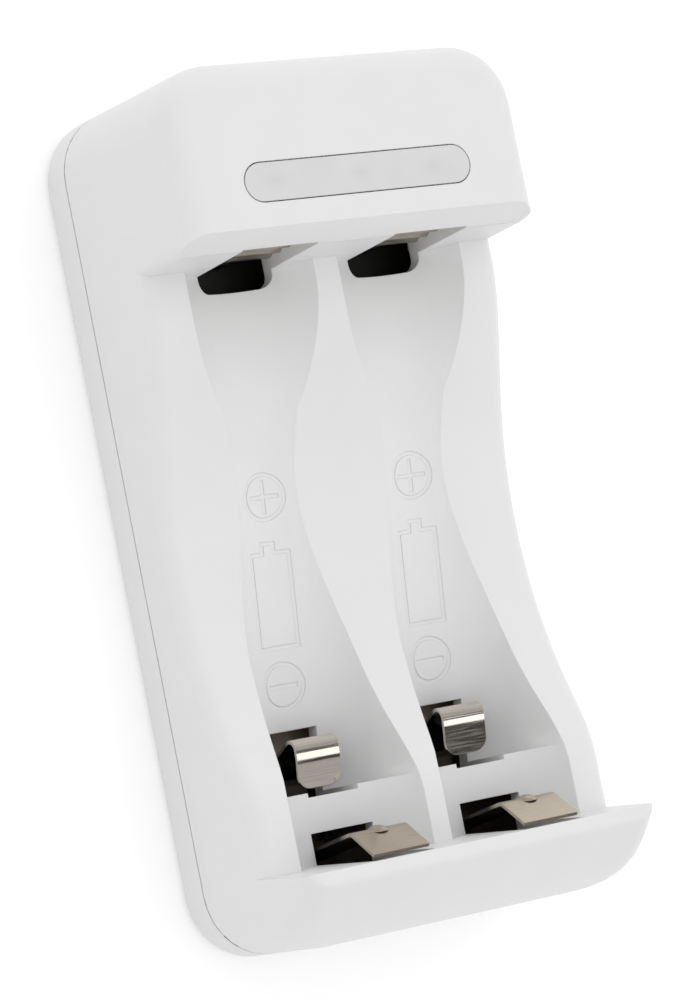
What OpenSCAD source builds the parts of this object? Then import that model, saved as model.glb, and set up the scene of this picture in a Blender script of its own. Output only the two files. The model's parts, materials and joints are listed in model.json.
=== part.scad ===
// Two-channel charger for AA and AAA cells.
// It lies on its back: X is the width, Y runs from the end lip to the head, Z points out of the front.
// The origin is in the middle of the back face.

/* [Cells] */
// Diameter of an AA cell
aa_d = 14.5; // [13.5:0.1:17.4]
// Length of an AA cell, nub included
aa_l = 50.5; // [42:0.5:61]
// Diameter of an AAA cell
aaa_d = 10.5; // [9:0.1:11]
// Length of an AAA cell, nub included
aaa_l = 44.5; // [37:0.5:47]
// Gap between two AA cells side by side
cell_gap = 0.7; // [0.5:0.1:2]
// Radial room between a cell and its channel
cell_clear = 0.15; // [0.1:0.05:0.3]

/* [Case] */
// Case wall beside each outer AA cell, at the parting line
side_wall = 3.35; // [2.8:0.05:5]
// Length of the head, from its underside to the end of the case
head_l = 16.6; // [14:0.1:22]
// Length of the end lip, from its inner face to the end of the case
lip_l = 6.8; // [6.2:0.05:9]
// Room along the bay beyond the AA cell's length
bay_play = 0.55; // [0.3:0.05:1]
// Height of the head's front face above the back
case_h = 22.2; // [21:0.1:27]
// Height of the lip's rim above the back
rim_h = 21.4; // [21.2:0.1:22]
// Height of the rear cover
rear_h = 4.1; // [3.6:0.1:5]
// Thickness of the outer walls
wall = 1.6; // [1.3:0.05:1.9]
// Thickness of the rear cover's floor
rear_floor = 1.4; // [1.1:0.1:1.7]
// Radius of the case corners seen from the front
corner_r = 6; // [5:0.1:7.2]
// Radius of the head's front edges
edge_r = 2.4; // [1.8:0.1:2.9]
// Radius between the head's sides and its underside
head_corner_r = 1; // [0.6:0.1:1.4]
// Radius of the lip's rim
rim_r = 0.9; // [0.7:0.05:1]
// Thickness of the lip at its rim
rim_t = 2.3; // [2.1:0.05:2.6]
// Radius of the rim's corners seen from the front
rim_corner_r = 2; // [1.9:0.05:2.6]
// Radius of the back edge
back_r = 1; // [0.6:0.1:1.3]
// Radius of the head's front edge along the bay
bay_edge_r = 0.4; // [0.2:0.05:0.6]
// Radius of the rim's edge along the bay
lip_edge_r = 0.15; // [0.1:0.05:0.3]
// Draft of the sides, in degrees
side_draft = 1.8; // [1:0.1:2.2]
// Draft of the head's end wall, in degrees
head_draft = 0.9; // [0.5:0.1:1.8]
// Draft of the two bay ends, in degrees
end_draft = 2.5; // [1:0.1:3]
// Height at which the lip's outer face starts to slope
nose_h = 11.6; // [10:0.1:13]
// Open line between the two case halves
part_gap = 0.12; // [0.08:0.01:0.2]
// Height of the tongue that keys the rear cover into the front shell
tongue_h = 0.9; // [0.6:0.1:1.2]
// Thickness of that tongue
tongue_t = 0.9; // [0.7:0.1:1.1]
// Room between the tongue and the front shell
tongue_clear = 0.1; // [0.05:0.05:0.2]

/* [Channels] */
// Height of the AA channel floor above the back
channel_z = 10.4; // [9.6:0.1:12]
// Height of the AAA trough floor at its low end
trough_z = 4.35; // [4.3:0.05:5.2]
// Height of the saddle at its lowest
saddle_low = 9.2; // [8.6:0.1:10]
// Height of the saddle next to the head
saddle_head_z = 14.05; // [13:0.05:15]
// Height of the saddle next to the lip
saddle_lip_z = 14.6; // [13.5:0.05:15]
// Radius of the saddle's long hollow
saddle_r = 37; // [35:0.5:45]
// Distance of the saddle's lowest line from the middle of the bay, toward the head
saddle_off = 0.7; // [0:0.1:1.5]
// Softness of the turn from the hollow to the level stretch at the head
saddle_head_soft = 3.5; // [2:0.1:5]
// Softness of the turn from the hollow to the level stretch at the lip
saddle_lip_soft = 1.5; // [1:0.1:3]
// Radius of the saddle's long edges
saddle_edge_r = 1.7; // [1.2:0.1:2]
// Lean of the AAA trough's walls above its axis, in degrees
trough_flare = 12; // [6:1:15]
// Thickness of the channel floors
floor_t = 1.2; // [1:0.05:1.3]
// Thickness of the bay end below the head
end_wall = 1.3; // [1.1:0.05:1.5]
// Thickness of the bay end at the lip
lip_wall = 2.3; // [2.1:0.05:2.6]
// Room behind an AAA cell for its hook spring
hook_room = 2.4; // [2.2:0.1:3]

/* [Contacts] */
// Thickness of the contact strip
strip_t = 0.3; // [0.25:0.05:0.35]
// Width of a hook spring
hook_w = 4.3; // [3.6:0.1:5]
// Outer radius of the hook's arch
hook_r = 1; // [0.9:0.05:1.2]
// Height of the hook's arch centre
hook_z = 8.65; // [8.2:0.05:8.9]
// How far a free hook reaches past the AAA cell's end
hook_reach = 2.3; // [2:0.1:2.4]
// Lean of the hook's leg, in degrees
hook_lean = 24; // [18:1:28]
// Length of the hook's front tab
hook_tab_l = 3; // [2.4:0.1:3.2]
// Slope of the hook's front tab, in degrees
hook_tab_slope = 13; // [10:1:18]
// Corner radius of the hook's front tab
hook_tab_r = 1.2; // [0.6:0.1:1.8]
// Width of an AA spring
spring_w = 5.5; // [4.6:0.1:6.4]
// Height of the AA spring's crest
crest_z = 16.7; // [15.5:0.1:17.5]
// How far a free AA spring reaches past the AA cell's end
crest_reach = 0.3; // [0.1:0.05:0.5]
// Outer radius of the AA spring's crest
crest_r = 1; // [0.8:0.1:1.5]
// Lean of the AA spring's leg, in degrees
spring_lean = 7; // [4:1:9]
// Slope of the AA spring's front ramp, in degrees
ramp_slope = 34; // [28:1:40]
// Height of the front ramp's end
ramp_end_z = 20; // [19.2:0.1:20.1]
// Radius of the dimple on the AA spring
dimple_r = 0.9; // [0.6:0.1:1.1]
// Height of the dimple
dimple_h = 0.35; // [0.2:0.05:0.45]
// Width of a positive strip
plate_w = 8.6; // [8:0.1:9]
// Depth of the waves of a positive strip
wave_d = 0.3; // [0.2:0.05:0.4]
// Number of waves of a positive strip
wave_n = 6; // [4:1:8]
// Width of a positive strip's solder tail
tail_w = 2.4; // [1.8:0.1:3]
// Room between a positive strip's end and the head's front wall
plate_clear = 0.3; // [0.2:0.05:0.5]
// Room between a spring's root and its holder
root_clear = 0.35; // [0.3:0.05:0.4]
// Thickness of a rib of a spring's holder
holder_t = 1; // [0.8:0.1:1.2]
// Height of the ribs of a spring's holder
holder_h = 1.5; // [1.2:0.1:1.8]

/* [Slots] */
// Width of a positive slot
plus_slot_w = 7.4; // [6.8:0.1:7.6]
// Reach of a positive slot into the channel floor
plus_slot_l = 1.5; // [1:0.1:2]
// Corner radius of a positive slot
plus_slot_r = 1.2; // [0.8:0.1:1.5]
// Height of the front end of a positive slot
plus_slot_z = 19.8; // [18.8:0.1:20.2]
// Room beside a hook spring in its slot
hook_slot_gap = 0.35; // [0.3:0.05:0.6]
// Length of a hook slot
hook_slot_l = 5.6; // [5.2:0.1:6]
// Notch of a hook slot in the step above it
hook_notch = 0.4; // [0.3:0.05:0.6]
// Room beside an AA spring in its slot
spring_slot_gap = 0.35; // [0.3:0.05:0.5]
// Length of an AA slot in front of the lip
spring_slot_l = 2.65; // [2.4:0.05:3]
// Depth of the AA spring's pocket in the lip
pocket_d = 1.35; // [1.25:0.05:1.45]
// Height of the top of that pocket
pocket_z = 20.6; // [20.5:0.05:20.7]

/* [Window] */
// Width of the indicator window
window_w = 22.5; // [18:0.1:25]
// Height of the indicator window along the case
window_l = 3.3; // [2.6:0.1:4]
// Middle of the window, measured from the head's underside
window_from_bay = 5.65; // [5:0.05:8]
// Open line round the window
window_gap = 0.1; // [0.06:0.01:0.15]
// Edge of the window's flange behind the head's front wall
flange_edge = 1; // [0.8:0.1:1.2]
// Thickness of that flange
flange_t = 1; // [0.8:0.1:1.2]
// Diameter of a light guide
guide_d = 2.6; // [2.2:0.1:3]
// Distance between the two light guides
guide_pitch = 13; // [10:0.5:15]

/* [Board] */
// Height of the board's underside above the back
board_z = 5.6; // [5.3:0.1:5.7]
// Thickness of the board
board_t = 1.2; // [1:0.1:1.3]
// Reach of the board past the head's underside, below the channels
board_reach = 13; // [11:0.5:14]
// Room between the board and the case walls
board_clear = 0.9; // [0.6:0.1:1.2]
// Diameter of a board post
post_d = 3.2; // [2.8:0.1:3.6]
// Diameter of a board pin
pin_d = 1.4; // [1.2:0.1:1.6]
// Radial room round pins and tails in the board
board_hole_clear = 0.1; // [0.06:0.02:0.14]
// Width of the power inlet
usb_w = 7.6; // [7:0.1:9]
// Height of the power inlet
usb_h = 2.7; // [2.5:0.1:3.2]
// Length of the power inlet
usb_l = 5.4; // [5:0.1:6.5]
// Sheet thickness of the power inlet
usb_t = 0.3; // [0.25:0.05:0.35]
// Room round the power inlet in the end wall
usb_clear = 0.4; // [0.3:0.05:0.6]
// Diameter of a lead
lead_d = 1.1; // [0.9:0.05:1.2]

/* [Screws] */
// Diameter of a case screw
screw_d = 2; // [1.8:0.1:2.2]
// Reach of a case screw above the back
screw_l = 7.5; // [6.5:0.5:8.5]
// Diameter of a screw head
screw_head_d = 3.6; // [3.4:0.1:3.8]
// Thickness of a screw head
screw_head_t = 1.2; // [1:0.1:1.4]
// Radial room of a screw in its boss
screw_clear = 0.03; // [0.02:0.01:0.05]
// Diameter of a screw boss
boss_d = 4.6; // [4.4:0.1:5]
// Distance of the upper bosses from the case edges
boss_inset = 4.9; // [4.6:0.1:5.2]
// Distance of the lower boss from the end of the case
low_boss_inset = 3.7; // [3.6:0.1:4]

/* [Hidden] */

white = [0.93, 0.93, 0.92];
nickel = [0.72, 0.7, 0.66];
black = [0.1, 0.1, 0.1];

// Overall box
case_w = 2 * aa_d + cell_gap + 2 * side_wall;
bay_l = aa_l + bay_play;
case_l = lip_l + bay_l + head_l;
top_y = case_l / 2;
head_y = top_y - head_l;
rim_y = lip_l - top_y;

// Cell axes
pitch = aa_d + cell_gap;
aa_r = aa_d / 2 + cell_clear;
aaa_r = aaa_d / 2 + cell_clear;
aa_axis_z = channel_z + aa_r;
plate_y = head_y + end_wall;
aaa_tilt = asin((aa_axis_z - trough_z - aaa_r) / (aaa_l + hook_room));
aaa_end_y = plate_y - aaa_l * cos(aaa_tilt);
step_y = aaa_end_y - hook_room;
aa_end_y = plate_y - aa_l;

// Front shell
skirt_z = rear_h + part_gap / 2;
lip_slices = 7;
lip_bulge = 2.8;
lip_corner_bulge = 1.7;
edge_over = 0.03;
over = 20;
eps = 0.02;

// Hook spring: its arch, the root of its leg and the hinge line that stands for its bending
hook_cy = aaa_end_y + hook_reach - hook_r;
hook_root_z = rear_floor + root_clear;
hook_hinge_z = rear_floor + holder_h / 2;
hook_leg_y = hook_cy + (hook_r - strip_t / 2) * cos(hook_lean);
hook_leg_z = hook_z - (hook_r - strip_t / 2) * sin(hook_lean);
hook_hinge_y = hook_leg_y - (hook_leg_z - hook_hinge_z) * tan(hook_lean);
hook_slot_w = hook_w + 2 * hook_slot_gap;

// AA spring: its crest, the root of its leg and its hinge line
crest_cy = aa_end_y + crest_reach - crest_r;
spring_hinge_z = hook_hinge_z;
spring_leg_y = crest_cy + (crest_r - strip_t / 2) * cos(spring_lean);
spring_leg_z = crest_z - (crest_r - strip_t / 2) * sin(spring_lean);
spring_hinge_y = spring_leg_y - (spring_leg_z - spring_hinge_z) * tan(spring_lean);
spring_slot_w = spring_w + 2 * spring_slot_gap;

// Board and what stands on it
board_top = board_z + board_t;
board_w = case_w - 2 * (wall + board_clear);
board_y0 = head_y - board_reach;
board_y1 = top_y - wall - board_clear;
post_x = board_w / 2 - post_d / 2;
post_ys = [board_y0 + post_d, plate_y];
window_y = head_y + window_from_bay;
window_z0 = case_h - wall;
led_size = [2.8, 1.8, 1.1];
chip_y = board_y0 + 5.2;
guide_gap = 0.3;
strip_seat = 0.05;
usb_y = top_y - wall + usb_clear;

// Screws
boss_xy = [
    [-case_w / 2 + boss_inset, top_y - boss_inset],
    [case_w / 2 - boss_inset, top_y - boss_inset],
    [0, low_boss_inset - top_y]
];
screw_sink = 0.6;
screw_seat_z = screw_head_t + screw_sink;
boss_room = 0.3;

sides = [-1, 1];

// Turns a profile drawn as [y, z] into a solid of width w along X
module along_x(w) {
    rotate([90, 0, 90])
        linear_extrude(height = w, center = true)
            children();
}

// A flat ring with a round section: a torus corner of the front edge
module edge_ring(r, section_r) {
    rotate_extrude($fn = 32)
        translate([r, 0])
            circle(r = section_r, $fn = 24);
}

// How far the drafted sides have come in at height z
function draft_in(z) = (z - rear_h) * tan(side_draft);

// The case as one rounded body, shrunk by inset: drafted skirt, rounded head front and sloping lip
module case_form(inset, z0) {
    er = max(edge_r - inset, 0.5);
    rr = max(rim_r - inset, 0.3);
    cr = corner_r - inset;
    edge_z = case_h - edge_r;
    rim_z = rim_h - inset - rr;
    rim_plan_r = rim_corner_r - inset;
    lip_back = lip_l - rim_t;
    end_shift = (edge_z - rear_h) * (tan(side_draft) - tan(head_draft));
    hull() {
        for (sx = sides)
            for (sy = sides)
                translate([sx * (case_w / 2 - corner_r), sy * (case_l / 2 - corner_r), z0])
                    cylinder(r1 = cr - draft_in(z0), r2 = cr - draft_in(nose_h), h = nose_h - z0, $fn = 32);
        for (sx = sides)
            for (y = [head_y, top_y - corner_r + end_shift])
                translate([sx * (case_w / 2 - corner_r), y, case_h - inset - er])
                    edge_ring(cr - draft_in(edge_z) - er, er);
        for (sx = sides)
            for (k = [1:lip_slices]) let (
                t = k / lip_slices,
                z = nose_h + (rim_z - nose_h) * t,
                r = rim_corner_r + (corner_r - rim_corner_r) * pow(1 - t, lip_corner_bulge)
            )
                translate([sx * (case_w / 2 - draft_in(z) - r), r - top_y + lip_back * pow(t, lip_bulge), z])
                    if (k < lip_slices)
                        cylinder(r = max(r - inset, rr), h = eps, $fn = 32);
                    else if (rim_plan_r > 2 * rr)
                        edge_ring(rim_plan_r - rr, rr);
                    else
                        sphere(r = rr, $fn = 24);
    }
}

// The lower of two heights, with a soft turn of size k where they meet
function soft_low(a, b, k) = let (h = min(max(0.5 + (b - a) / (2 * k), 0), 1))
    b + (a - b) * h - k * h * (1 - h);

// Height of the saddle at y: a long hollow of one radius, which turns level at the head and at the lip
saddle_m = (head_y + rim_y) / 2 + saddle_off;
function saddle_z(y) = let (
        d = min(abs(y - saddle_m), saddle_r),
        hollow = saddle_low + saddle_r - sqrt(saddle_r * saddle_r - d * d)
    )
    y > saddle_m
        ? soft_low(hollow, saddle_head_z, saddle_head_soft)
        : soft_low(hollow, saddle_lip_z, saddle_lip_soft);

// One cross-section of the cut above the saddle, as [x, z], with both edges rounded over
function saddle_section(half, z, r, n) = concat(
    [[0, case_h + over], [-half - over, case_h + over], [-half - over, z - r]],
    [for (i = [0:n]) [-half + r - r * cos(90 * i / n), z - r + r * sin(90 * i / n)]],
    [for (i = [0:n]) [half - r + r * sin(90 * i / n), z - r + r * cos(90 * i / n)]],
    [[half + over, z - r], [half + over, case_h + over]]
);

// Space above the saddle over the length of the bay, with the long edges of the case rounded over
module saddle_cut(stations, arc_n) {
    y0 = rim_y - lip_wall;
    y1 = head_y + lip_wall;
    ys = [for (i = [0:stations]) y0 + (y1 - y0) * i / stations];
    sections = [for (y = ys) let (
            z = saddle_z(y),
            half = case_w / 2 - draft_in(z - saddle_edge_r) + edge_over
        ) saddle_section(half, z, saddle_edge_r, arc_n)];
    m = len(sections[0]);
    points = [for (i = [0:stations]) for (p = sections[i]) [p[0], ys[i], p[1]]];
    walls = [for (i = [0:stations - 1]) for (j = [0:m - 1]) let (
            a = i * m + j,
            b = i * m + (j + 1) % m
        ) each [[a, b, b + m], [a, b + m, a + m]]];
    low_end = [0, for (j = [m - 1:-1:1]) j];
    high_end = [for (j = [0:m - 1]) stations * m + j];
    polyhedron(points = points, faces = concat(walls, [low_end, high_end]));
}

// Rounded front edge of a bay end as [y, z], then straight on above the front face
function bay_edge(y, z, s, r) = let (turn = 70, run = 3 * wall) concat(
    [for (a = [0:turn / 4:turn]) [y + s * r * (1 - cos(a)), z + r * (sin(a) - 1)]],
    [[y + s * (r + run * sin(turn)), z + run * cos(turn)]]
);

// A prism between the two drafted ends of the bay, with their front edges rounded over
module bay_prism() {
    z0 = trough_z - 1;
    low = (z0 - channel_z) * tan(end_draft);
    head_edge = bay_edge(head_y + (case_h - channel_z) * tan(end_draft), case_h, 1, bay_edge_r);
    lip_edge = bay_edge(rim_y - (rim_h - channel_z) * tan(end_draft), rim_h, -1, lip_edge_r);
    along_x(case_w + 2 * wall)
        polygon(concat(
            [[rim_y - low, z0], [head_y + low, z0]],
            head_edge,
            [for (i = [len(lip_edge) - 1:-1:0]) lip_edge[i]]
        ));
}

// Space outside the rounded corner between the head's right side and its underside
module head_corner() {
    steps = 5;
    r = head_corner_r;
    x = case_w / 2 - r;
    arc = [for (i = [0:steps]) [x + r * sin(90 * i / steps), r * (1 - cos(90 * i / steps)) - edge_over]];
    translate([case_w / 2, 0, rear_h])
        rotate([0, -side_draft, 0])
            translate([-case_w / 2, head_y, channel_z - rear_h])
                rotate([-end_draft, 0, 0])
                    linear_extrude(height = case_h)
                        polygon(concat([[x, -r]], arc, [[x + 2 * r, r], [x + 2 * r, -r]]));
}

// Material under the saddle and at the bay ends, which the hollow of the shell leaves standing
module saddle_block() {
    steps = 24;
    high = (case_h - channel_z) * tan(end_draft);
    y0 = rim_y - lip_wall - (saddle_lip_z - wall - channel_z) * tan(end_draft);
    y1 = plate_y + (saddle_head_z - wall - channel_z) * tan(end_draft);
    along_x(case_w)
        polygon(concat(
            [for (i = [0:steps]) let (y = y0 + (y1 - y0) * i / steps) [y, saddle_z(y) - wall]],
            [[plate_y + high, case_h], [rim_y - lip_wall - high, case_h]]
        ));
}

// AA channel from y0 to y1
module aa_cylinder(r, y0, y1) {
    translate([0, y0, aa_axis_z])
        rotate([-90, 0, 0])
            cylinder(r = r, h = y1 - y0, $fn = 96);
}

// Section of the AAA trough: round below, with walls that lean out above its axis
module trough_section(r, h) {
    n = 40;
    a = trough_flare;
    top = [r * cos(a) + h * tan(a), h - r * sin(a)];
    polygon(concat(
        [for (i = [0:n]) let (t = 180 + a + (180 - 2 * a) * i / n) [r * cos(t), r * sin(t)]],
        [top, [-top[0], top[1]]]
    ));
}

// AAA trough, on the slant that brings the cell's nub to the middle of the AA nub's place
module aaa_trough(r, low_y) {
    over_l = 4;
    translate([0, plate_y, aa_axis_z])
        rotate([90 + aaa_tilt, 0, 0])
            translate([0, 0, -over_l])
                linear_extrude(height = (plate_y - low_y) / cos(aaa_tilt) + 2 * over_l)
                    trough_section(r, aa_d / 2);
}

// Walls of one channel, below the saddle's edges
module channel_walls() {
    intersection() {
        union() {
            aa_cylinder(aa_r + floor_t, rim_y - lip_wall, plate_y);
            intersection() {
                aaa_trough(aaa_r + floor_t, step_y);
                translate([-case_w, step_y - floor_t, 0])
                    cube([2 * case_w, plate_y - step_y + floor_t, case_h]);
            }
        }
        translate([-case_w, -case_l, 0])
            cube([2 * case_w, 2 * case_l, max(saddle_head_z, saddle_lip_z) + floor_t / 2]);
    }
}

// Space of one channel: the AA half-round and the deeper AAA trough
module channel_space() {
    aa_cylinder(aa_r, rim_y - lip_wall, head_y + lip_wall);
    intersection() {
        aaa_trough(aaa_r, step_y);
        translate([-aa_d / 2, step_y, trough_z - 1])
            cube([aa_d, head_y - step_y + lip_wall, aa_axis_z]);
    }
}

// Slot of a positive strip: through the channel floor and the bay end, with round low corners
module plus_slot() {
    low_y = head_y - plus_slot_l;
    translate([0, 0, channel_z - floor_t - 1])
        linear_extrude(height = plus_slot_z - channel_z + floor_t + 1)
            difference() {
                translate([-plus_slot_w / 2, low_y])
                    square([plus_slot_w, plus_slot_l + end_wall + 1]);
                for (s = sides)
                    translate([s * (plus_slot_w / 2 - plus_slot_r), low_y + plus_slot_r])
                        difference() {
                            translate([s * plus_slot_r / 2 + s * eps, -plus_slot_r / 2 - eps])
                                square(plus_slot_r + 2 * eps, center = true);
                            circle(r = plus_slot_r, $fn = 48);
                        }
            }
}

// Slot of a hook spring: through the trough floor and the step, undercut where the tab swings
module hook_slot() {
    top_y = step_y + hook_slot_l;
    under = 2 * hook_notch + floor_t;
    along_x(hook_slot_w)
        polygon([
            [top_y, trough_z - 2], [top_y, trough_z + 4], [step_y, channel_z + 1],
            [step_y - hook_notch, channel_z + 1], [step_y - hook_notch, channel_z - 0.2],
            [step_y - under, channel_z - floor_t - 0.2], [step_y - under, trough_z - 2]
        ]);
}

// Slot of an AA spring: through the channel floor, with a pocket in the lip behind the ramp
module spring_slot() {
    along_x(spring_slot_w)
        polygon([
            [rim_y + spring_slot_l, channel_z - floor_t - 1], [rim_y + spring_slot_l, channel_z + 2],
            [rim_y + eps, channel_z + 2], [rim_y + eps, pocket_z], [rim_y - pocket_d, pocket_z],
            [rim_y - pocket_d, channel_z - floor_t - 1]
        ]);
}

// A rounded bar as a flat shape
module pill(w, l) {
    square([w - l, l], center = true);
    for (s = sides)
        translate([s * (w - l) / 2, 0])
            circle(d = l, $fn = 64);
}

// Outline of the power inlet as [x, z], standing on the board
module usb_outline(grow) {
    w = usb_w / 2 + grow;
    cut = 1;
    polygon([
        [-w + cut, -grow], [w - cut, -grow], [w, cut - grow],
        [w, usb_h + grow], [-w, usb_h + grow], [-w, cut - grow]
    ]);
}

module usb_along_y(y0, y1, grow) {
    translate([0, y1, board_top])
        rotate([90, 0, 0])
            linear_extrude(height = y1 - y0)
                usb_outline(grow);
}

module front_shell() {
    color(white)
        difference() {
            union() {
                difference() {
                    case_form(0, skirt_z);
                    difference() {
                        case_form(wall, skirt_z - 1);
                        saddle_block();
                    }
                }
                for (s = sides)
                    translate([s * pitch / 2, 0, 0])
                        channel_walls();
                for (p = boss_xy)
                    translate([p[0], p[1], rear_h])
                        cylinder(d = boss_d, h = (p[1] > 0 ? case_h : nose_h) - rear_h - wall / 2, $fn = 48);
            }
            intersection() {
                union() {
                    saddle_cut(40, 6);
                    for (s = sides)
                        translate([s * pitch / 2, 0, 0])
                            channel_space();
                }
                union() {
                    bay_prism();
                    head_corner();
                    mirror([1, 0, 0])
                        head_corner();
                }
            }
            for (s = sides)
                translate([s * pitch / 2, 0, 0]) {
                    plus_slot();
                    hook_slot();
                    spring_slot();
                }
            translate([0, window_y, case_h - wall - 1])
                linear_extrude(height = wall + 2)
                    pill(window_w + 2 * window_gap, window_l + 2 * window_gap);
            usb_along_y(top_y - wall - 1, top_y + 1, usb_clear);
            for (p = boss_xy)
                translate([p[0], p[1], rear_h - 1])
                    cylinder(d = screw_d + 2 * screw_clear, h = screw_l + 2 - rear_h, $fn = 48);
        }
}

// The rear cover's outer body, shrunk by inset, from z0 up
module rear_form(inset, z0, z1) {
    hull()
        for (sx = sides)
            for (sy = sides)
                translate([sx * (case_w / 2 - corner_r), sy * (case_l / 2 - corner_r), 0]) {
                    translate([0, 0, z0])
                        cylinder(r = corner_r - inset - (inset > 0 ? 0 : back_r), h = eps, $fn = 48);
                    translate([0, 0, z0 + (inset > 0 ? 0 : back_r * 0.3)])
                        cylinder(r = corner_r - inset - (inset > 0 ? 0 : back_r * 0.3), h = eps, $fn = 48);
                    translate([0, 0, z0 + (inset > 0 ? 0 : back_r)])
                        cylinder(r = corner_r - inset, h = z1 - z0 - (inset > 0 ? 0 : back_r), $fn = 48);
                }
}

// Two upright ribs that take the leaning root of a spring between them
module root_holder(y, w, lean) {
    off = strip_t / 2 / cos(lean) + holder_h / 2 * tan(lean) + root_clear;
    for (s = sides)
        translate([-w / 2, y + s * (off + holder_t / 2) - holder_t / 2, rear_floor - eps])
            cube([w, holder_t, holder_h + eps]);
}

module rear_cover() {
    tongue_in = wall + tongue_clear;
    rear_top = rear_h - part_gap / 2;
    pin_over = 0.8;
    head_room = 0.2;
    color(white)
        difference() {
            union() {
                difference() {
                    rear_form(0, 0, rear_top);
                    rear_form(tongue_in + tongue_t, rear_floor, rear_h + 1);
                }
                difference() {
                    rear_form(tongue_in, rear_floor, rear_h + tongue_h);
                    rear_form(tongue_in + tongue_t, rear_floor - 1, rear_h + tongue_h + 1);
                    for (p = boss_xy)
                        translate([p[0], p[1], rear_h - tongue_h / 2])
                            cylinder(d = boss_d + 2 * tongue_clear, h = 2 * tongue_h, $fn = 48);
                }
                for (p = boss_xy)
                    translate([p[0], p[1], screw_sink])
                        cylinder(d = boss_d, h = rear_h - screw_sink, $fn = 48);
                for (s = sides)
                    for (y = post_ys)
                        translate([s * post_x, y, rear_floor - eps]) {
                            cylinder(d = post_d, h = board_z - rear_floor + eps, $fn = 32);
                            cylinder(d = pin_d, h = board_top + pin_over - rear_floor, $fn = 32);
                        }
                for (s = sides)
                    translate([s * pitch / 2, 0, 0]) {
                        root_holder(hook_hinge_y, hook_w, hook_lean);
                        root_holder(spring_hinge_y, spring_w, spring_lean);
                    }
            }
            for (p = boss_xy)
                translate([p[0], p[1], -1]) {
                    cylinder(d = screw_d + 2 * screw_clear + head_room, h = rear_h + 2, $fn = 48);
                    cylinder(d = screw_head_d + 2 * head_room, h = screw_seat_z + 1, $fn = 48);
                }
        }
}

module indicator_window() {
    guide_z = board_top + led_size[2] + guide_gap;
    color([0.82, 0.83, 0.83])
        translate([0, window_y, 0]) {
            translate([0, 0, window_z0 - flange_t / 2])
                linear_extrude(height = wall + flange_t / 2)
                    pill(window_w, window_l);
            translate([0, 0, window_z0 - flange_t])
                linear_extrude(height = flange_t)
                    pill(window_w + 2 * flange_edge, window_l + 2 * flange_edge);
            for (s = sides)
                translate([s * guide_pitch / 2, 0, guide_z])
                    cylinder(d = guide_d, h = window_z0 - flange_t / 2 - guide_z, $fn = 48);
        }
}

// Corrugated strip on the back of the drafted bay end, with a solder tail down to the board
module positive_contact(s) {
    z0 = -floor_t / 2;
    z1 = case_h - wall - plate_clear - channel_z;
    steps = wave_n * 8;
    function wave_y(i) = strip_seat + wave_d / 2 * (1 - cos(360 * wave_n * i / steps));
    face = [for (i = [0:steps]) [wave_y(i), z0 + (z1 - z0) * i / steps]];
    tail_z = board_z - 1;
    color(nickel)
        translate([s * pitch / 2, plate_y, 0]) {
            translate([0, 0, channel_z])
                rotate([-end_draft, 0, 0])
                    along_x(plate_w)
                        polygon(concat(face, [for (i = [steps:-1:0]) face[i] + [strip_t, 0]]));
            translate([-tail_w / 2, strip_seat, tail_z])
                cube([tail_w, strip_t, channel_z + z0 / 2 - tail_z]);
        }
}

// A bent stretch of strip as [y, z], from angle a0 to a1
module strip_bend(r, a0, a1) {
    far = 4 * r;
    mid = (a0 + a1) / 2;
    intersection() {
        difference() {
            circle(r = r, $fn = 64);
            circle(r = r - strip_t, $fn = 64);
        }
        polygon([[0, 0], far * [cos(a0), sin(a0)], far * [cos(mid), sin(mid)], far * [cos(a1), sin(a1)]]);
    }
}

// A straight stretch of strip as [y, z], from p along the angle a
module strip_run(p, a, l) {
    translate(p)
        rotate(a)
            translate([-eps, -strip_t / 2])
                square([l + eps, strip_t]);
}

// Hook spring: leaning leg, arch toward the cell and a front tab with round corners
module aaa_contact(s) {
    tab_a = 90 + hook_tab_slope;
    tab_y = hook_cy + (hook_r - strip_t) * cos(tab_a);
    tab_z = hook_z + (hook_r - strip_t) * sin(tab_a);
    color(nickel)
        translate([s * pitch / 2, 0, 0]) {
            along_x(hook_w) {
                translate([hook_cy, hook_z])
                    strip_bend(hook_r, -hook_lean, tab_a);
                strip_run([hook_leg_y, hook_leg_z], -90 - hook_lean,
                    (hook_leg_z - hook_root_z) / cos(hook_lean));
            }
            translate([0, tab_y, tab_z])
                rotate([hook_tab_slope, 0, 0])
                    linear_extrude(height = strip_t) {
                        translate([-hook_w / 2, hook_tab_r - hook_tab_l])
                            square([hook_w, hook_tab_l - hook_tab_r + eps]);
                        translate([hook_tab_r - hook_w / 2, -hook_tab_l])
                            square([hook_w - 2 * hook_tab_r, hook_tab_l]);
                        for (sx = sides)
                            translate([sx * (hook_w / 2 - hook_tab_r), hook_tab_r - hook_tab_l])
                                circle(r = hook_tab_r, $fn = 48);
                    }
        }
}

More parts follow.
